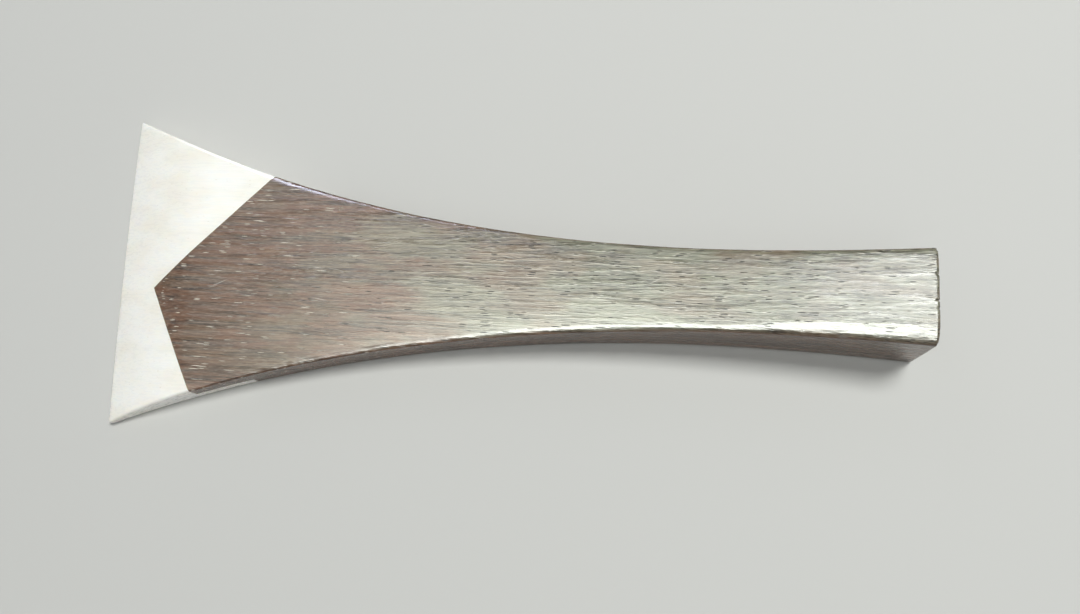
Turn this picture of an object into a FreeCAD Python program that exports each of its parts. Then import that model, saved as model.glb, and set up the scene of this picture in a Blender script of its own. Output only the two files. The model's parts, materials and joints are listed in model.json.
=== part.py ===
"""Bone folder with a flared bone blade, half-lapped and glued into a hardwood handle.

Millimetres, +Z up. The tool lies on its flat lower face, as it does on a bench.
+X runs along the axis from the blade to the butt, and the blade's far corner is on the +Y side.
While it is being built, x = 0 is where the axis crosses the blade's edge; at the end every piece
moves so that the origin is the bottom centre of the whole tool.
"""

import FreeCAD, Part
import math
import os

# Overall sizes
LENGTH = 200.0  # edge to butt, along the axis
FLARE_WIDTH = 88.4  # across the sides at FLARE_LEAD before the edge, where their curves start
WAIST_WIDTH = 19.8  # narrowest place of the handle
BUTT_WIDTH = 22.2
BUTT_THICKNESS = 22.0

# Plan of the sides, a Bezier curve from the flare to the waist and a parabola to the butt
FLARE_LEAD = 6.0
FLARE_ANGLE = 21.2  # degrees between a side and the axis, where the curve starts
FLARE_HANDLE = 9.1  # length of the curve's tangent there
WAIST_FROM_BUTT = 41.0
WAIST_HANDLE = 100.5  # length of the curve's tangent at the waist

# Side view
SHOULDER_FROM_EDGE = 20.0  # where the ground bevel runs out into the long upper face
SHOULDER_THICKNESS = 7.4
SHOULDER_LEAD = 8.0  # length of the long face's tangent at the shoulder
BUTT_LEAD = 100.0  # and at the butt
BUTT_RISE = 6.8  # degrees that the long face climbs at the butt
EDGE_THICKNESS = 2.0
EDGE_LIFT = 0.6  # the edge stands this far above the lower face
HEEL_FROM_EDGE = 14.0  # where the small lower bevel starts
BEVEL_BULGE = 0.65  # the upper bevel is rounded by this much

# Working edge, seen from above
EDGE_SKEW = 5.8  # degrees out of square, far corner longest
EDGE_BOW = 0.7  # the edge bulges by this much in its width

# Half-lap joint: a V shoulder on each face, the lower one further up the handle
V_POINT_FROM_EDGE = 11.0
V_POINT_OFF_AXIS = -4.65
V_FAR_ANGLE = 47.5  # degrees between the axis and the arm to the far side
V_NEAR_ANGLE = 59.7
LAP_LENGTH = 16.9  # from the upper shoulder to the lower one
TONGUE_THICKNESS = 3.3
GLUE_GAP = 0.15

ARRIS_RADIUS = 0.8  # every outer edge is eased by this much

OVERRUN = 8.0  # blanks and cutters run past the finished tool by this much
EDGE_OVERRUN = 2.0  # and past the working edge, where a longer blank would taper to nothing
UPRIGHT = FreeCAD.Vector(0, 0, 3 * BUTT_THICKNESS)
FAR, NEAR = 1, -1


def vec(x, y, z=0.0):
    return FreeCAD.Vector(x, y, z)


def line(a, b):
    return Part.LineSegment(a, b).toShape()


def bezier(*poles):
    curve = Part.BezierCurve()
    curve.setPoles(list(poles))
    return curve.toShape()


def bowed(a, b, bow, before=0.0, after=0.0):
    """A parabola through a and b that bulges by the vector bow halfway between them.

    It starts and ends past them by the given fractions of their distance.
    """
    start, end = -before, 1 + after
    first = a + (b - a) * start + bow * (4 * start * (1 - start))
    last = a + (b - a) * end + bow * (4 * end * (1 - end))
    lead = (b - a + bow * (4 * (1 - 2 * start))) * ((end - start) / 2)
    return bezier(first, first + lead, last)


def closed(edges, *corners):
    """The outline's edges, closed by straight lines over the corners after the last edge."""
    stops = [edges[-1].lastVertex().Point, *corners, edges[0].firstVertex().Point]
    return Part.Wire(edges + [line(a, b) for a, b in zip(stops, stops[1:])])


def prism(wire, sweep):
    """The solid that an outline makes when it is swept along a vector."""
    return Part.Face(wire).extrude(sweep)


def side_curves(side):
    """One side of the outline seen from above: the flare, then waist to past the butt."""
    slope = math.tan(math.radians(FLARE_ANGLE))
    along = math.cos(math.radians(FLARE_ANGLE)) * FLARE_HANDLE
    start = vec(-FLARE_LEAD, side * FLARE_WIDTH / 2)
    lead = start + vec(along, -side * along * slope)
    waist = vec(LENGTH - WAIST_FROM_BUTT, side * WAIST_WIDTH / 2)
    butt = vec(LENGTH, side * BUTT_WIDTH / 2)
    bow = vec(0, -side * (BUTT_WIDTH - WAIST_WIDTH) / 8)
    return [
        bezier(start, lead, waist - vec(WAIST_HANDLE, 0), waist),
        bowed(waist, butt, bow, 0, OVERRUN / WAIST_FROM_BUTT),
    ]


def plan_blank():
    """The outline seen from above, swept upwards. Both its ends are still too long."""
    far, near = side_curves(FAR), side_curves(NEAR)
    ends = [
        line(far[1].lastVertex().Point, near[1].lastVertex().Point),
        line(near[0].firstVertex().Point, far[0].firstVertex().Point),
    ]
    return prism(Part.Wire([*far, ends[0], *reversed(near), ends[1]]), UPRIGHT)


def side_profile(side):
    """The tool cut lengthwise, well off its far or near side, with its edge end still too long.

    What belongs to the working edge is moved along the axis to follow the edge's skew.
    """
    y = side * FLARE_WIDTH
    skew = -y * math.tan(math.radians(EDGE_SKEW))
    rise = math.radians(BUTT_RISE)
    edge_top = vec(skew, y, EDGE_LIFT + EDGE_THICKNESS)
    edge_bottom = vec(skew, y, EDGE_LIFT)
    shoulder = vec(skew + SHOULDER_FROM_EDGE, y, SHOULDER_THICKNESS)
    heel = vec(skew + HEEL_FROM_EDGE, y)
    butt_top = vec(LENGTH, y, BUTT_THICKNESS)
    butt_bottom = vec(LENGTH + BUTT_THICKNESS * BUTT_THICKNESS / 2 / LENGTH, y)
    bevel = bowed(edge_top, shoulder, vec(0, 0, BEVEL_BULGE), EDGE_OVERRUN / SHOULDER_FROM_EDGE)
    run_out = bevel.Curve.tangent(bevel.LastParameter)[0]
    climb = vec(math.cos(rise), 0, math.sin(rise))
    lead, tail = shoulder + run_out * SHOULDER_LEAD, butt_top - climb * BUTT_LEAD
    face = bezier(shoulder, lead, tail, butt_top)
    sag = vec(0, 0, -EDGE_LIFT / 4)
    lower = bowed(heel, edge_bottom, sag, 0, EDGE_OVERRUN / HEEL_FROM_EDGE)
    base = [line(butt_top, butt_bottom), line(butt_bottom, heel)]
    return closed([bevel, face, *base, lower])


def side_blank():
    """The wedge between two side profiles, with both bevels ground along the skewed edge."""
    return Part.makeLoft([side_profile(FAR), side_profile(NEAR)], True, True)


def edge_cutter():
    """Everything beyond the working edge, which is skewed and bowed."""
    near, far = vec(0, -FLARE_WIDTH / 2), vec(0, FLARE_WIDTH / 2)
    edge = bowed(near, far, vec(-EDGE_BOW, 0), 0.2, 0.2)
    corners = vec(-FLARE_WIDTH, FLARE_WIDTH), vec(-FLARE_WIDTH, -FLARE_WIDTH)
    cutter = prism(closed([edge], *corners), UPRIGHT)
    cutter.translate(-UPRIGHT / 3)
    cutter.rotate(vec(0, 0), vec(0, 0, 1), EDGE_SKEW)
    return cutter


def is_arris(body, edge):
    """True for an edge where two faces meet at a steep angle."""
    a, b = (middle_normal(face) for face in body.ancestorsOfType(edge, Part.Face))
    return a.dot(b) < math.cos(math.radians(45))


def middle_normal(face):
    u0, u1, v0, v1 = face.ParameterRange
    return face.normalAt((u0 + u1) / 2, (v0 + v1) / 2)


def envelope():
    """The outer shape of the whole tool, as if it were one piece."""
    body = plan_blank().common(side_blank()).cut(edge_cutter()).Solids[0]
    radius = min(ARRIS_RADIUS, 0.42 * EDGE_THICKNESS)
    return body.makeFillet(radius, [e for e in body.Edges if is_arris(body, e)])


def blade_side(shift, offset, low, high):
    """The space on the blade's side of a V that is moved up the handle by shift.

    Both arms of the V are also moved outwards by offset, each square to itself.
    """
    reach = 2 * FLARE_WIDTH
    far, near = math.radians(V_FAR_ANGLE), math.radians(V_NEAR_ANGLE)
    spread = math.sin(far + near)
    x = V_POINT_FROM_EDGE + shift + offset * (math.cos(far) + math.cos(near)) / spread
    y = V_POINT_OFF_AXIS + offset * (math.sin(far) - math.sin(near)) / spread
    point = vec(x, y, low)
    far_end = point + vec(reach * math.cos(far), reach * math.sin(far))
    near_end = point + vec(reach * math.cos(near), -reach * math.sin(near))
    arms = [line(far_end, point), line(point, near_end)]
    corners = vec(-reach, near_end.y, low), vec(-reach, far_end.y, low)
    return prism(closed(arms, *corners), vec(0, 0, high - low))


def joint_space(offset):
    """The blade's share of the tool, grown by offset over every glued face."""
    seat = TONGUE_THICKNESS + offset
    head = blade_side(0, offset, TONGUE_THICKNESS, UPRIGHT.z)
    tongue = blade_side(LAP_LENGTH, offset, -OVERRUN, seat)
    return head.fuse(tongue)


def main():
    os.makedirs("parts", exist_ok=True)
    whole = envelope()
    blade_space, glued_space = joint_space(0), joint_space(GLUE_GAP)
    pieces = {
        "bone_blade": whole.common(blade_space),
        "glue_line": whole.common(glued_space.cut(blade_space)),
        "wood_handle": whole.cut(glued_space),
    }
    box = whole.optimalBoundingBox(True, False)
    to_origin = vec(-box.Center.x, -box.Center.y, -box.ZMin)
    for node, shape in pieces.items():
        shape.translate(to_origin)
        if len(shape.Solids) != 1 or not shape.isValid():
            raise ValueError(f"{node} has {len(shape.Solids)} solids")
        solid = shape.Solids[0]
        solid.exportStep(f"parts/{node}.step")
        size = solid.BoundBox
        extent = f"{size.XLength:.2f} x {size.YLength:.2f} x {size.ZLength:.2f} mm"
        print(f"{node}: {extent}, {solid.Volume / 1000:.2f} cm3")
    print(f"moved by {to_origin.x:.3f}, {to_origin.y:.3f}, {to_origin.z:.3f}")


main()
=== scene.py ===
import json
import math

import bpy
import numpy as np
from mathutils import Matrix, Vector


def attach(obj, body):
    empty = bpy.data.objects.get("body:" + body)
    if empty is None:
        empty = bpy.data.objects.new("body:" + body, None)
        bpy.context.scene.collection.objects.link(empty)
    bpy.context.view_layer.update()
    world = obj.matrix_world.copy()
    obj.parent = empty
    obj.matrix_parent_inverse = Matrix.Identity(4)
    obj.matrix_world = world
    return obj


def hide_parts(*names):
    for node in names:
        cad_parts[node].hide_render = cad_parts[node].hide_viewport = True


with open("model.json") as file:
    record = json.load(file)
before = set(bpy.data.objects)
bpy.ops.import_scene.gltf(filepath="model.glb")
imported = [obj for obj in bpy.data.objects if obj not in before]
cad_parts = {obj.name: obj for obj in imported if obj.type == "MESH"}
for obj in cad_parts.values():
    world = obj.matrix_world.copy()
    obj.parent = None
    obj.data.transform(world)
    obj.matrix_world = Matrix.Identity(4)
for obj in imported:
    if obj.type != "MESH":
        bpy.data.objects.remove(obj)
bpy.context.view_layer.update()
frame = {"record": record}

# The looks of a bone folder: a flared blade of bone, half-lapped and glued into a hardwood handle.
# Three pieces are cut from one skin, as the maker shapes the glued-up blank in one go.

MM = 0.001

# Sizes in millimetres. x runs up the axis from where it crosses the working edge, and y across.
LENGTH = 200.0
FLARE_WIDTH = 88.4
WAIST_WIDTH = 19.8
BUTT_WIDTH = 22.2
BUTT_THICKNESS = 22.0
BUTT_LEAN = BUTT_THICKNESS * BUTT_THICKNESS / 2 / LENGTH

# The sides seen from above
FLARE_LEAD = 6.0
FLARE_ANGLE = math.radians(21.2)
FLARE_HANDLE = 9.1
WAIST_FROM_BUTT = 41.0
WAIST_HANDLE = 100.5

# The faces seen from the side
SHOULDER_FROM_EDGE = 20.0
SHOULDER_THICKNESS = 7.4
SHOULDER_LEAD = 8.0
BUTT_LEAD = 100.0
BUTT_RISE = math.radians(6.8)
EDGE_THICKNESS = 2.0
EDGE_LIFT = 0.6
HEEL_FROM_EDGE = 14.0
BEVEL_BULGE = 0.65

# The working edge and the half-lap joint
EDGE_SLOPE = math.tan(math.radians(5.8))
EDGE_BOW = 0.7
V_POINT = (11.0, -4.65)
V_FAR_ANGLE = math.radians(47.5)
V_NEAR_ANGLE = math.radians(59.7)
LAP_LENGTH = 16.9
TONGUE_THICKNESS = 3.3
GLUE_GAP = 0.15

# What tools and hands left on it
ARRIS = 0.8  # an outer edge is eased by about this much
FAR_ROLL = 1.1  # the handle's upper edges are rubbed over this far in from the side
FAR_FLAT = 1.3  # more than that on the far side, just behind the joint
NEAR_ROLL = 1.6
BUTT_ROLL = 6.0  # and this far at the near corner of the butt
CROWN = 0.35  # the handle's upper face falls away by this much towards its sides
SCRAPER_WAVE = 0.05  # depth of the waves that the scraper left in the upper face
BUTT_START = 150.0  # from here on the near side is rolled over more and more
CHIP_ZONE = 5.0  # the butt's upper edge is chipped within this

# The grid of the skin
END_STRIP = 2.2  # it is finest this near to the edge and the butt
GRID_STEP = 0.5
SKEW_FADE = 70.0  # its lines follow the skewed edge less and less over this length
STRIP_LINES, ACROSS_LINES, UP_LINES = 9, 81, 17
MOST_ROUNDED = 0.84  # the rounding takes at most this share of half the thickness

# The middle of the butt is a mount, which says where the axis and the edge are in the frame
BUTT_MOUNT = next(mount for mount in frame["record"]["mounts"] if mount["name"] == "butt_face")
EDGE_X = BUTT_MOUNT["pos_m"][0] / MM - LENGTH - BUTT_LEAN / 2
AXIS_Y = BUTT_MOUNT["pos_m"][1] / MM


# ------------------------------------------------------------ the shape of the whole tool


def bezier(poles, count=600):
    """Points of a cubic Bezier curve, one row each."""
    t = np.linspace(0, 1, count)[:, None]
    a, b, c, d = (np.array(pole) for pole in poles)
    return (1 - t) ** 3 * a + 3 * (1 - t) ** 2 * t * b + 3 * (1 - t) * t * t * c + t**3 * d


def flare_curve():
    """One side from above, as far as the waist: x and the half width there."""
    along = math.cos(FLARE_ANGLE) * FLARE_HANDLE
    start = (-FLARE_LEAD, FLARE_WIDTH / 2)
    lead = (along - FLARE_LEAD, FLARE_WIDTH / 2 - along * math.tan(FLARE_ANGLE))
    waist = (LENGTH - WAIST_FROM_BUTT, WAIST_WIDTH / 2)
    return bezier([start, lead, (waist[0] - WAIST_HANDLE, waist[1]), waist])


def face_curve():
    """The long upper face from the side, from the shoulder to the butt: x and height."""
    bevel_rise = SHOULDER_THICKNESS - EDGE_LIFT - EDGE_THICKNESS - 4 * BEVEL_BULGE
    slope = bevel_rise / SHOULDER_FROM_EDGE
    run = SHOULDER_LEAD / math.hypot(1, slope)
    start = (SHOULDER_FROM_EDGE, SHOULDER_THICKNESS)
    butt = (LENGTH, BUTT_THICKNESS)
    tail = (butt[0] - BUTT_LEAD * math.cos(BUTT_RISE), butt[1] - BUTT_LEAD * math.sin(BUTT_RISE))
    return bezier([start, (start[0] + run, start[1] + run * slope), tail, butt])


FLARE = flare_curve()
FACE = face_curve()


def ease(value, low, high):
    """0 below low, 1 above high, and a smooth step between them."""
    t = np.clip((value - low) / (high - low), 0, 1)
    return t * t * (3 - 2 * t)


def wander(place, seed):
    """Smooth unevenness from -1 to 1, with a new random value at every whole number."""
    values = np.random.RandomState(seed).uniform(-1, 1, 4096)
    place = np.asarray(place, float) + 2048
    cell = np.floor(place).astype(int)
    part = ease(place - cell, 0, 1)
    return values[cell % 4096] * (1 - part) + values[(cell + 1) % 4096] * part


def waves(x, y, seed):
    """The same over a surface."""
    values = np.random.RandomState(seed).uniform(-1, 1, (256, 256))
    i, j = np.floor(x + 128).astype(int), np.floor(y + 128).astype(int)
    s, t = ease(x + 128 - i, 0, 1), ease(y + 128 - j, 0, 1)
    near = values[i % 256, j % 256] * (1 - s) + values[(i + 1) % 256, j % 256] * s
    far = values[i % 256, (j + 1) % 256] * (1 - s) + values[(i + 1) % 256, (j + 1) % 256] * s
    return near * (1 - t) + far * t


def half_width(x):
    past_waist = np.clip((x - LENGTH + WAIST_FROM_BUTT) / WAIST_FROM_BUTT, 0, None)
    flared = np.interp(x, FLARE[:, 0], FLARE[:, 1])
    return flared + (BUTT_WIDTH - WAIST_WIDTH) / 2 * past_waist**2


def edge_line(y):
    """x of the skewed and bowed working edge."""
    return -y * EDGE_SLOPE - EDGE_BOW * (1 - (2 * y / FLARE_WIDTH) ** 2)


def top_height(x, y):
    """Height of the upper face: a rounded bevel along the skewed edge, then the hollow face."""
    skew = -y * EDGE_SLOPE
    share = np.linspace(0, 1, len(FACE))
    t = np.clip((x - SHOULDER_FROM_EDGE) / (LENGTH - SHOULDER_FROM_EDGE), 0, 1)
    for _ in range(6):
        moved_with_edge = (1 - t) ** 3 + 3 * (1 - t) ** 2 * t
        t = np.interp(x - skew * moved_with_edge, FACE[:, 0], share)
    face = np.interp(t, share, FACE[:, 1])
    u = (x - skew) / SHOULDER_FROM_EDGE
    edge = EDGE_LIFT + EDGE_THICKNESS
    bevel = edge + (SHOULDER_THICKNESS - edge) * u + 4 * BEVEL_BULGE * u * (1 - u)
    return np.where(u < 1, bevel, face)


def bottom_height(x, y):
    """Height of the lower face: flat, with a small bevel that lifts the working edge."""
    u = np.clip(1 - (x + y * EDGE_SLOPE) / HEEL_FROM_EDGE, 0, None)
    return EDGE_LIFT * u * u


def uneven_top(x, y, wide):
    """How far the hand-worked upper face stands off its true shape."""
    crown = -CROWN * ease(x, 40, 90) * (y / wide) ** 4
    scraped = SCRAPER_WAVE * (waves(x / 17, y / 5, 11) + 0.35 * waves(x / 6, y / 2.2, 12))
    return crown + scraped * ease(x, 15, 40)


def easing(x, y, near, upper):
    """How far the rounding of the outer edges reaches along, across and up.

    near is 1 at the near side and 0 at the far side, and upper is 1 at the upper face.
    """
    at_butt = ease(x, BUTT_START, LENGTH)
    # hands wore it unevenly, by a tenth every 11 mm and half of that every 2.3 mm
    worn = 1 + (0.1 * wander(x / 11, 3) + 0.05 * wander(x / 2.3, 4)) * (1 - 0.8 * at_butt)
    far_roll = FAR_ROLL + FAR_FLAT * ease(x, 20, 38) * ease(-x, -66, -46)
    roll = far_roll + near * (NEAR_ROLL - far_roll + at_butt * (BUTT_ROLL - NEAR_ROLL))
    across = worn * (ARRIS + upper * ease(x, 25, 50) * (roll - ARRIS))
    up = worn * ARRIS * (1 + upper * near * (0.4 * ease(x, 60, BUTT_START) + 1.1 * at_butt))
    chip = np.clip(wander(y / 1.5, 5) + 0.5 * wander(y / 0.6, 6) - 0.35, 0, 1)
    chip = chip * upper * ease(x, LENGTH - CHIP_ZONE, LENGTH - 2) * ease(y, -9, -6)
    along = ARRIS * (1 + 0.12 * wander(y / 3, 8) + 1.5 * chip)
    return along, across, up * (1 + chip)


def surface_points(a, y_share, y_strip, z_share, z_strip):
    """The skin's points, from their places in a straight box.

    a is the distance from the working edge. The shares run from -1 to 1 over the clear part
    between the eased edges, and the strips from 0 to 1 over an eased edge, out to the face.
    """
    near, upper = ease(-y_share, -1, 1), ease(z_share, 0.2, 1)
    y = y_share * half_width(a)
    for _ in range(6):
        x = a + edge_line(y) * (1 - ease(a, 0, SKEW_FADE))
        wide = half_width(x)
        along, across, up = easing(a, y, near, upper)
        y = y_share * (wide - across) + np.sign(y_share) * across * y_strip
    low, high = bottom_height(x, y), top_height(x, y)
    half = (high - low) / 2
    up = np.minimum(up, MOST_ROUNDED * half)
    z = low + half + z_share * (half - up) + np.sign(z_share) * up * z_strip
    x_strip = np.clip(1 - np.minimum(a, LENGTH - a) / along, 0, 1)
    shrink = 1 - 1 / np.maximum(np.sqrt(x_strip**2 + y_strip**2 + z_strip**2), 1)
    x = x - np.sign(a - LENGTH / 2) * along * x_strip * shrink
    y = y - np.sign(y_share) * across * y_strip * shrink
    z = z - np.sign(z_share) * up * z_strip * shrink
    z = z + upper * uneven_top(x, y, wide)
    x = x + BUTT_LEAN * (1 - z / BUTT_THICKNESS) * ease(a, BUTT_START, LENGTH)
    return np.stack([x + EDGE_X, y + AXIS_Y, z], 1) * MM


def grid_lines():
    """The skin's grid: distances from the edge, and shares and strips across and up."""
    strip = np.tan(np.linspace(0, math.pi / 4, STRIP_LINES))
    end = END_STRIP * (1 - strip[::-1])
    middle = np.arange(END_STRIP + GRID_STEP, LENGTH - END_STRIP - GRID_STEP / 5, GRID_STEP)
    along = np.concatenate([end, middle, LENGTH - end[::-1]])
    first, last = [(-1, s) for s in strip[::-1]], [(1, s) for s in strip]
    across = [*first, *((s, 0) for s in np.linspace(-1, 1, ACROSS_LINES)[1:-1]), *last]
    up = [*first, *((s, 0) for s in np.linspace(-1, 1, UP_LINES)[1:-1]), *last]
    return along, np.array(across), np.array(up)


def skin_mesh():
    """The outer skin of the whole tool, a closed grid of four-sided faces."""
    along, across, up = grid_lines()
    i_end, j_end, k_end = len(along) - 1, len(across) - 1, len(up) - 1
    numbers = {}

    def number(*place):
        return numbers.setdefault(place, len(numbers))

    def sheet(rows, columns, place, flipped):
        for r in range(rows):
            for c in range(columns):
                corners = ((r, c), (r, c + 1), (r + 1, c + 1), (r + 1, c))
                ring = [number(*place(*corner)) for corner in corners]
                quads.append(ring[::-1] if flipped else ring)

    quads = []
    for end in (0, 1):
        sheet(i_end, j_end, lambda r, c: (r, c, end * k_end), end == 1)
        sheet(i_end, k_end, lambda r, c: (r, end * j_end, c), end == 0)
        sheet(j_end, k_end, lambda r, c: (end * i_end, r, c), end == 1)
    i, j, k = np.array(list(numbers)).T
    points = surface_points(along[i], *across[j].T, *up[k].T)
    mesh = bpy.data.meshes.new("whole_tool")
    mesh.from_pydata(points.tolist(), [], quads)
    return mesh


# ------------------------------------------------------------ cutting it at the joint


def blade_side(name, shift, offset, low, high):
    """The blade's side of a V, which is moved up the handle by shift and outwards by offset."""
    reach = 2 * FLARE_WIDTH
    sine = math.sin(V_FAR_ANGLE + V_NEAR_ANGLE)
    x = V_POINT[0] + shift + offset * (math.cos(V_FAR_ANGLE) + math.cos(V_NEAR_ANGLE)) / sine
    y = V_POINT[1] + offset * (math.sin(V_FAR_ANGLE) - math.sin(V_NEAR_ANGLE)) / sine
    far = (x + reach * math.cos(V_FAR_ANGLE), y + reach * math.sin(V_FAR_ANGLE))
    near = (x + reach * math.cos(V_NEAR_ANGLE), y - reach * math.sin(V_NEAR_ANGLE))
    corners = [near, (-reach, near[1]), (-reach, far[1]), far, (x, y)][::-1]
    ring = [(a + EDGE_X, b + AXIS_Y) for a, b in corners]
    points = [(a * MM, b * MM, c * MM) for c in (low, high) for a, b in ring]
    count = len(corners)
    walls = [(i, (i + 1) % count, (i + 1) % count + count, i + count) for i in range(count)]
    ends = [tuple(range(count))[::-1], tuple(range(count, 2 * count))]
    mesh = bpy.data.meshes.new(name)
    mesh.from_pydata(points, [], walls + ends)
    return new_object(name, mesh)


def new_object(name, data):
    made = bpy.data.objects.new(name, data)
    bpy.context.scene.collection.objects.link(made)
    return made


def cut(piece, cutter, operation):
    """Applies one exact boolean to the piece's own mesh."""
    modifier = piece.modifiers.new("cut", "BOOLEAN")
    modifier.object = cutter
    modifier.operation = operation
    modifier.solver = "EXACT"
    cut_piece = piece.evaluated_get(bpy.context.evaluated_depsgraph_get())
    mesh = bpy.data.meshes.new_from_object(cut_piece)
    piece.modifiers.clear()
    piece.data = mesh


def joint_space(name, offset):
    """The blade's share of the tool, grown by offset over the glued faces."""
    space = blade_side(name, 0, offset, TONGUE_THICKNESS, 3 * BUTT_THICKNESS)
    tongue = blade_side("tongue", LAP_LENGTH, offset, -BUTT_THICKNESS, TONGUE_THICKNESS + offset)
    cut(space, tongue, "UNION")
    bpy.data.objects.remove(tongue)
    return space


def piece_of(name, skin, *cuts):
    """A piece of the tool, cut out of its skin."""
    piece = new_object(name, skin.copy())
    for cutter, operation in cuts:
        cut(piece, cutter, operation)
    piece.data.name = name
    piece.data.shade_smooth()
    piece.data.set_sharp_from_angle(angle=math.radians(42))
    return piece


def make_pieces():
    """The blade, the handle and the glue between them, by the names of their CAD nodes."""
    skin = skin_mesh()
    blade_space, glued_space = joint_space("blade_space", 0), joint_space("glued_space", GLUE_GAP)
    keep, drop = "INTERSECT", "DIFFERENCE"
    pieces = {
        "bone_blade": piece_of("blade", skin, (blade_space, keep)),
        "glue_line": piece_of("glue", skin, (glued_space, keep), (blade_space, drop)),
        "wood_handle": piece_of("handle", skin, (glued_space, drop)),
    }
    for space in (blade_space, glued_space):
        bpy.data.objects.remove(space)
    return pieces


# ------------------------------------------------------------ finishes


def colour(text):
    """An sRGB hex value as linear red, green, blue and alpha."""
    parts = [int(text[i : i + 2], 16) / 255 for i in (1, 3, 5)]
    return (*(c / 12.92 if c <= 0.04045 else ((c + 0.055) / 1.055) ** 2.4 for c in parts), 1.0)


def add(tree, kind, inputs=None, **settings):
    """Adds a node with its settings, gives its inputs values or links, and returns its outputs."""
    made = tree.nodes.new("ShaderNode" + kind)
    for name, value in settings.items():
        setattr(made, name, value)
    for name, value in (inputs or {}).items():
        if isinstance(value, bpy.types.NodeSocket):
            tree.links.new(value, made.inputs[name])
        else:
            made.inputs[name].default_value = value
    return made.outputs


def new_finish(name):
    """An empty material: its node tree and its shader."""
    material = bpy.data.materials.new(name)
    material.use_nodes = True
    tree = material.node_tree
    tree.nodes.clear()
    shader = add(tree, "BsdfPrincipled")[0].node
    add(tree, "OutputMaterial", {"Surface": shader.outputs[0]})
    return material, tree, shader


def grained(tree, place, length, width, seed):
    """Places stretched so that a pattern's cells are length mm along the grain and width across."""
    size = (1 / (length * MM), 1 / (width * MM), 1 / (width * MM))
    shift = (seed, seed, seed)
    return add(tree, "Mapping", {"Vector": place, "Scale": size, "Location": shift})[0]


def turned(tree, place, degrees):
    """Places turned in the plan, for marks that run across the grain."""
    return add(tree, "VectorRotate", {"Vector": place, "Angle": math.radians(degrees)})[0]


def streaks(tree, place, length, width, seed, low, high, detail=2.0):
    """Fine noise along the grain, 0 below low and 1 above high."""
    spots = grained(tree, place, length, width, seed)
    noise = add(tree, "TexNoise", {"Vector": spots, "Scale": 1.0, "Detail": detail})[0]
    return add(tree, "MapRange", {0: noise, 1: low, 2: high}, interpolation_type="SMOOTHSTEP")[0]


def pores(tree, place, length, width, seed, share, reach=0.26):
    """Short hollows along the grain, in only a share of the places for one: 1 inside, 0 outside.

    reach is how far one goes from its middle, as a share of length and width.
    """
    spots = grained(tree, place, length, width, seed)
    cells = add(tree, "TexVoronoi", {"Vector": spots, "Scale": 1.0})
    slope = 0.12  # the share over which its walls go down
    walls = {0: cells["Distance"], 1: reach, 2: reach - slope}
    hollow = add(tree, "MapRange", walls, interpolation_type="SMOOTHSTEP")[0]
    dice = add(tree, "SeparateColor", {0: cells["Color"]})[0]
    chosen = add(tree, "Math", {0: dice, 1: share}, operation="LESS_THAN")[0]
    return add(tree, "Math", {0: hollow, 1: chosen}, operation="MULTIPLY")[0]


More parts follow.
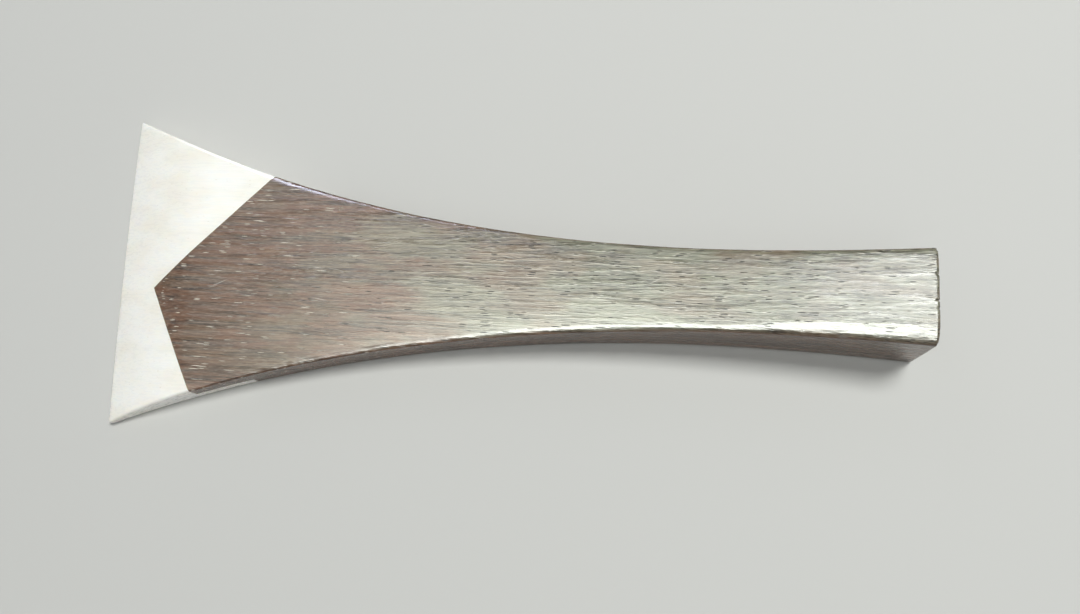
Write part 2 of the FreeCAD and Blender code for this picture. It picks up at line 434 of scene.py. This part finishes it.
def hand_rubbed_hardwood():
    """Dark open-pored hardwood, scraped, rubbed with oil and polished by hands.

    To the eye: brown wood under a silvery sheen that breaks up into long fine streaks, with
    short pores along the grain. Part of the sheen is painted into its grey tones. Near the blade
    the pores are painted pale, as painted glints, and further up nearly black, as painted shade.
    """
    material, tree, shader = new_finish("hand_rubbed_hardwood")
    place = add(tree, "TexCoord")["Object"]
    # the grain wanders by about half a millimetre over 60 mm
    bends = grained(tree, place, 60, 24, 3)
    drift = add(tree, "TexNoise", {"Vector": bends, "Scale": 1.0, "Detail": 1.0})["Color"]
    drift = add(tree, "VectorMath", {0: drift, 1: (0.5, 0.5, 0.5)}, operation="SUBTRACT")[0]
    drift = add(tree, "VectorMath", {0: drift, 1: (0, 1.3 * MM, 1.3 * MM)}, operation="MULTIPLY")[0]
    grain = add(tree, "VectorMath", {0: place, 1: drift}, operation="ADD")[0]

    # for each pattern: its length along the grain and width across in mm, a seed, and the two
    # noise values between which it comes in
    rings = streaks(tree, grain, 70, 1.8, 1, 0.38, 0.62, detail=3.0)
    fibres = streaks(tree, grain, 55, 0.34, 2, 0.25, 0.9, detail=3.0)
    flecks = streaks(tree, grain, 1.6, 0.3, 17, 0.45, 0.7)
    ridges = streaks(tree, grain, 80, 1.0, 21, 0.35, 0.65, detail=3.0)
    patches = streaks(tree, grain, 20, 7, 5, 0.38, 0.62, detail=5.0)
    # the real pores are finer: they are drawn only as coarse as they need to be to show
    long_pores = pores(tree, grain, 9, 0.5, 7, 0.25)
    short_pores = pores(tree, grain, 5, 0.42, 9, 0.3)
    hollow = add(tree, "Math", {0: long_pores, 1: short_pores}, operation="MAXIMUM")[0]
    lips = pores(tree, grain, 9, 0.5, 7, 0.25, reach=0.42)

    # two sets of wood colours: brown, and a grey that is partly a film left by handling and partly
    # painted sheen, more towards the butt
    along = add(tree, "SeparateXYZ", {0: place})[0]
    greyed = add(tree, "MapRange", {0: along, 1: -0.065, 2: 0.03, 3: -0.45, 4: 0.55})[0]
    film_and_sheen = {0: patches, 1: 0.62, 2: greyed}
    greyed = add(tree, "Math", film_and_sheen, operation="MULTIPLY_ADD", use_clamp=True)[0]
    # the sides stay brown and the upper face is painted greyer: partly a film of handling, partly
    # painted sheen
    facing = add(tree, "SeparateXYZ", {0: add(tree, "TexCoord")["Normal"]})
    aside = add(tree, "Math", {0: facing["Y"]}, operation="ABSOLUTE")[0]
    top_film_and_sheen = add(tree, "MapRange", {0: aside, 1: 0.5, 2: 0.9, 3: 1.0, 4: 0.1})[0]
    greyed = add(tree, "Math", {0: greyed, 1: top_film_and_sheen}, operation="MULTIPLY")[0]
    # the grey set is partly painted sheen
    brown, grey = ("#22140d", "#593927", "#83604a"), ("#2b291f", "#626252", "#959581")
    tones = []
    for dark, middle, light in (brown, grey):
        tone = add(tree, "Mix", {0: rings, 6: colour(dark), 7: colour(middle)}, data_type="RGBA")[2]
        tones += [add(tree, "Mix", {0: fibres, 6: tone, 7: colour(light)}, data_type="RGBA")[2]]
    wood = add(tree, "Mix", {0: greyed, 6: tones[0], 7: tones[1]}, data_type="RGBA")[2]
    faint = add(tree, "Math", {0: flecks, 1: 0.22}, operation="MULTIPLY")[0]
    wood = add(tree, "Mix", {0: faint, 6: wood, 7: colour("#a59684")}, data_type="RGBA")[2]

    # a few faint scratches run across the grain at two slants
    scratched = pores(tree, turned(tree, place, -27), 30, 0.8, 44, 0.022)
    scored = pores(tree, turned(tree, place, 9), 40, 0.6, 47, 0.05)
    scratches = add(tree, "Math", {0: scratched, 1: scored}, operation="MAXIMUM")[0]
    faint = add(tree, "Math", {0: scratches, 1: 0.35}, operation="MULTIPLY")[0]
    wood = add(tree, "Mix", {0: faint, 6: wood, 7: colour("#c9c2b4")}, data_type="RGBA")[2]
    # the lips of the long pores are painted light where the wood is grey: a painted highlight, the
    # glint of the sheen on their edges
    faint = add(tree, "Math", {0: lips, 1: greyed}, operation="MULTIPLY")[0]
    faint = add(tree, "Math", {0: faint, 1: 0.45}, operation="MULTIPLY")[0]
    wood = add(tree, "Mix", {0: faint, 6: wood, 7: colour("#bdb7a6")}, data_type="RGBA")[2]

    # near the blade the pores are painted pale, as painted glints on their walls, and fewer and
    # fewer of them up the handle; the others are painted nearly black, as painted shade in the
    # hollows
    scatter = streaks(tree, grain, 6, 2, 13, 0.3, 0.7)
    pale_pore_share = add(tree, "Math", {0: scatter, 1: 0.06, 2: along}, operation="MULTIPLY_ADD")[0]
    pale_pore_share = add(tree, "MapRange", {0: pale_pore_share, 1: 0.02, 2: -0.03})[0]
    pore_paint = add(
        tree, "Mix", {0: pale_pore_share, 6: colour("#130e0a"), 7: colour("#e0d6c4")}, data_type="RGBA"
    )[2]
    wood = add(tree, "Mix", {0: hollow, 6: wood, 7: pore_paint}, data_type="RGBA")[2]

    # the butt shows end grain: darker, with little shine
    end_grain = add(tree, "MapRange", {0: facing["X"], 1: 0.55, 2: 0.8})[0]
    heart = (0, 14 * MM, -26 * MM)  # the rings of the end grain curve about a line below the tool
    about_heart = add(tree, "VectorMath", {0: place, 1: heart}, operation="SUBTRACT")[0]
    # a ring every 1.7 mm: this texture repeats after 0.314 of its unit
    uneven = {"Distortion": 2.5, "Detail": 2.0, "Detail Scale": 0.4}
    evenly = {"Vector": about_heart, "Scale": 0.314 / (1.7 * MM)}
    year = add(tree, "TexWave", evenly | uneven, wave_type="RINGS", rings_direction="X")[1]
    late_wood, early_wood = colour("#3d2d23"), colour("#634c3c")
    sawn = add(tree, "Mix", {0: year, 6: late_wood, 7: early_wood}, data_type="RGBA")[2]
    open_ends = pores(tree, place, 300, 0.62, 53, 0.85)
    sawn = add(tree, "Mix", {0: open_ends, 6: sawn, 7: colour("#170f0a")}, data_type="RGBA")[2]
    wood = add(tree, "Mix", {0: end_grain, 6: wood, 7: sawn}, data_type="RGBA")[2]
    tree.links.new(wood, shader.inputs["Base Color"])

    # the grey film shines, and the brown patches where it is worn off are duller
    dull = add(tree, "MapRange", {0: greyed, 3: 0.46, 4: 0.4})[0]
    dull = add(tree, "Math", {0: ridges, 1: -0.18, 2: dull}, operation="MULTIPLY_ADD")[0]
    # hands have polished the rolled edges, which face sideways
    polish = add(tree, "MapRange", {0: aside, 1: 0.05, 2: 0.2, 3: 0.0, 4: -0.14})[0]
    dull = add(tree, "Math", {0: dull, 1: polish}, operation="ADD")[0]
    dull = add(tree, "Math", {0: hollow, 1: 0.45, 2: dull}, operation="MULTIPLY_ADD")[0]
    dull = add(tree, "Math", {0: end_grain, 1: 0.2, 2: dull}, operation="MULTIPLY_ADD")[0]
    tree.links.new(dull, shader.inputs["Roughness"])
    shader.inputs["IOR"].default_value = 1.5
    shader.inputs["Coat Weight"].default_value = 0.2
    shader.inputs["Coat Roughness"].default_value = 0.22

    # heights in millimetres: ridges between the fibres, and hollows where the pores are
    height = 0.0
    marks = ((ridges, 0.04), (fibres, 0.008), (lips, 0.015), (flecks, 0.012))
    for mark, rise in (*marks, (hollow, -0.13), (scratches, -0.03)):
        height = add(tree, "Math", {0: mark, 1: rise, 2: height}, operation="MULTIPLY_ADD")[0]
    bump = add(tree, "Bump", {"Strength": 1.0, "Distance": MM, "Height": height})[0]
    tree.links.new(bump, shader.inputs["Normal"])
    return material


def bleached_bone():
    """Bleached bone, scraped and polished.

    To the eye: nearly white and a little warm, softly lit from inside, with faint long lines and
    a few fine vessels that run with the length.
    """
    material, tree, shader = new_finish("bleached_bone")
    place = add(tree, "TexCoord")["Object"]
    lines = streaks(tree, place, 30, 0.5, 31, 0.3, 0.7, detail=3.0)
    clouds = streaks(tree, place, 16, 7, 33, 0.35, 0.7)
    vessels = pores(tree, place, 1.6, 0.3, 37, 0.1)
    bone = add(
        tree, "Mix", {0: clouds, 6: colour("#fcfbf8"), 7: colour("#f5f1e9")}, data_type="RGBA"
    )[2]
    faint = add(tree, "Math", {0: lines, 1: 0.35}, operation="MULTIPLY")[0]
    bone = add(tree, "Mix", {0: faint, 6: bone, 7: colour("#ede6d9")}, data_type="RGBA")[2]
    faint = add(tree, "Math", {0: vessels, 1: 0.4}, operation="MULTIPLY")[0]
    bone = add(tree, "Mix", {0: faint, 6: bone, 7: colour("#c9bba2")}, data_type="RGBA")[2]
    tree.links.new(bone, shader.inputs["Base Color"])
    dull = add(tree, "Math", {0: lines, 1: 0.1, 2: 0.24}, operation="MULTIPLY_ADD")[0]
    tree.links.new(dull, shader.inputs["Roughness"])
    shader.inputs["IOR"].default_value = 1.54
    shader.inputs["Subsurface Weight"].default_value = 0.15
    shader.inputs["Subsurface Radius"].default_value = (1.0, 0.7, 0.45)
    shader.inputs["Subsurface Scale"].default_value = 1.5 * MM
    height = add(tree, "Math", {0: lines, 1: 0.0025}, operation="MULTIPLY")[0]
    height = add(tree, "Math", {0: vessels, 1: -0.01, 2: height}, operation="MULTIPLY_ADD")[0]
    bump = add(tree, "Bump", {"Strength": 1.0, "Distance": MM, "Height": height})[0]
    tree.links.new(bump, shader.inputs["Normal"])
    return material


def set_glue():
    """A thin line of hardened glue: olive brown, and half clear where it is thickest."""
    material, tree, shader = new_finish("set_glue")
    place = add(tree, "TexCoord")["Object"]
    thick = streaks(tree, place, 3, 3, 41, 0.35, 0.65)
    glue = add(
        tree, "Mix", {0: thick, 6: colour("#4d4028"), 7: colour("#8b7748")}, data_type="RGBA"
    )[2]
    tree.links.new(glue, shader.inputs["Base Color"])
    shader.inputs["Roughness"].default_value = 0.4
    shader.inputs["IOR"].default_value = 1.53
    return material


# For each node of the CAD model, the record's slot and the finish
FINISHES = {
    "bone_blade": ("polished_bone", bleached_bone),
    "wood_handle": ("oiled_hardwood", hand_rubbed_hardwood),
    "glue_line": ("hide_glue", set_glue),
}


# ------------------------------------------------------------ camera, light and floor


def aim(thing, place, target, up=(0, 1, 0)):
    """Puts a camera or lamp at a place, in millimetres, and turns it to its target."""
    ahead = (Vector(target) - Vector(place)).normalized()
    right = ahead.cross(Vector(up)).normalized()
    turn = Matrix((right, right.cross(ahead), -ahead)).transposed().to_4x4()
    thing.matrix_world = Matrix.Translation(Vector(place) * MM) @ turn


def make_camera():
    data = bpy.data.cameras.new("camera")
    data.lens = 26.56
    data.sensor_width = 36.0
    data.clip_start = 10 * MM
    camera = new_object("camera", data)
    aim(camera, (31.47, -52.74, 195.52), (12.50, -4.96, 2.60), up=(-0.0567, 0.9678, 0.2453))
    bpy.context.scene.camera = camera


def soft_light(name, place, size, power, tint, gloss_only=False):
    """A softbox that looks at the middle of the floor. Its place and size are in millimetres.

    One that is gloss_only shows in what shines and adds no light of its own to the rest.
    """
    data = bpy.data.lights.new(name, "AREA")
    data.shape = "RECTANGLE"
    data.size, data.size_y = size[0] * MM, size[1] * MM
    data.energy = power
    data.color = colour(tint)[:3]
    light = new_object(name, data)
    light.visible_diffuse = not gloss_only
    aim(light, place, (0, 0, 0))


def make_light():
    soft_light("overhead_softbox", (350, 290, 1070), (460, 300), 12.4, "#fcfffb")
    soft_light("sheen_card", (-250, 90, 980), (500, 280), 6.6, "#fbfff0", gloss_only=True)
    soft_light("near_card", (20, -370, 930), (640, 640), 32, "#fafff8", gloss_only=True)
    soft_light("far_card", (-420, 750, 550), (280, 320), 7, "#e2e9ff", gloss_only=True)
    world = bpy.data.worlds.new("room")
    world.use_nodes = True
    background = world.node_tree.nodes["Background"]
    background.inputs["Color"].default_value = colour("#eef0f2")
    background.inputs["Strength"].default_value = 0.34
    bpy.context.scene.world = world
    bpy.context.scene.view_settings.view_transform = "Standard"


def make_floor():
    material, _, shader = new_finish("matte_paper")
    shader.inputs["Base Color"].default_value = colour("#bdbcba")
    shader.inputs["Roughness"].default_value = 0.9
    mesh = bpy.data.meshes.new("floor")
    half = 3.0  # metres
    corners = [(-half, -half, 0), (half, -half, 0), (half, half, 0), (-half, half, 0)]
    mesh.from_pydata(corners, [], [(0, 1, 2, 3)])
    mesh.materials.append(material)
    new_object("floor", mesh)


def main():
    make_camera()
    make_light()
    make_floor()
    for node, piece in make_pieces().items():
        slot, finish = FINISHES[node]
        piece.data.materials.clear()
        piece.data.materials.append(finish())
        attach(piece, "root")
        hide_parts(node)


main()
